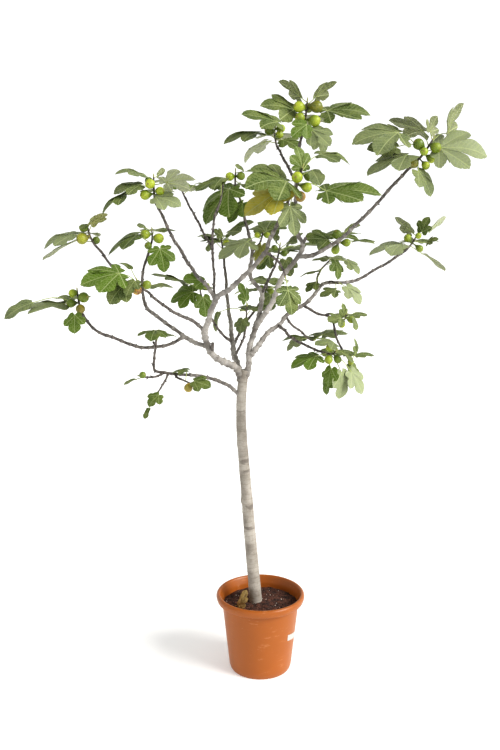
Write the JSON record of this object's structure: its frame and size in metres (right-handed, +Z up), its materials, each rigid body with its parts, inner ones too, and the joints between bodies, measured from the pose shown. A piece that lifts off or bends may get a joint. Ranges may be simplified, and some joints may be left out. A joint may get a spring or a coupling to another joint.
{
  "type": "potted fig tree",
  "caption": "Common fig tree on a bare trunk with an open crown of lobed leaves and ripening figs, standing in a round terracotta-coloured plastic nursery pot",
  "frame": {"origin": "middle of the pot's flat underside, on the floor", "axes": "+Z up along the trunk, -Y towards the viewer of the reference view, +X to the viewer's right"},
  "size_m": [1.6911, 1.1869, 2.2573],
  "materials": {
    "pot": "satin",
    "label": "matte",
    "soil": "matte",
    "bark": "matte",
    "leaf": "matte"
  },
  "bodies": {
    "root": {"pot": "pot", "label": "label", "soil": "soil", "trunk_and_branches": "bark", "leafy_shoot_top": "leaf", "leafy_shoot_top_back": "leaf", "leafy_shoot_right_far": "leaf", "leafy_shoot_right_back": "leaf", "leafy_shoot_centre_front": "leaf", "leafy_shoot_centre": "leaf", "leafy_shoot_centre_left": "leaf", "leafy_shoot_left_upper": "leaf", "leafy_shoot_left_back": "leaf", "leafy_shoot_left_mid": "leaf", "leafy_shoot_left_far": "leaf", "leafy_shoot_left_low": "leaf", "leafy_shoot_left_front": "leaf", "leafy_shoot_inner_left": "leaf", "leafy_shoot_inner_back": "leaf", "leafy_shoot_inner_mid": "leaf", "leafy_shoot_centre_side": "leaf", "leafy_shoot_back_right": "leaf", "leafy_shoot_rear_low": "leaf", "leafy_shoot_front_hanging": "leaf", "leafy_shoot_right_inner": "leaf", "leafy_shoot_right_hanging": "leaf", "leafy_shoot_right_drooping": "leaf", "leafy_shoot_drop_upper": "leaf", "leafy_shoot_drop_end": "leaf", "leafy_shoot_low_front": "leaf", "leafy_shoot_low_back": "leaf", "leafy_shoot_lowest": "leaf", "leafy_shoot_lowest_left": "leaf", "leafy_shoot_lowest_down": "leaf", "leafy_shoot_lowest_right": "leaf"}
  },
  "joints": []
}
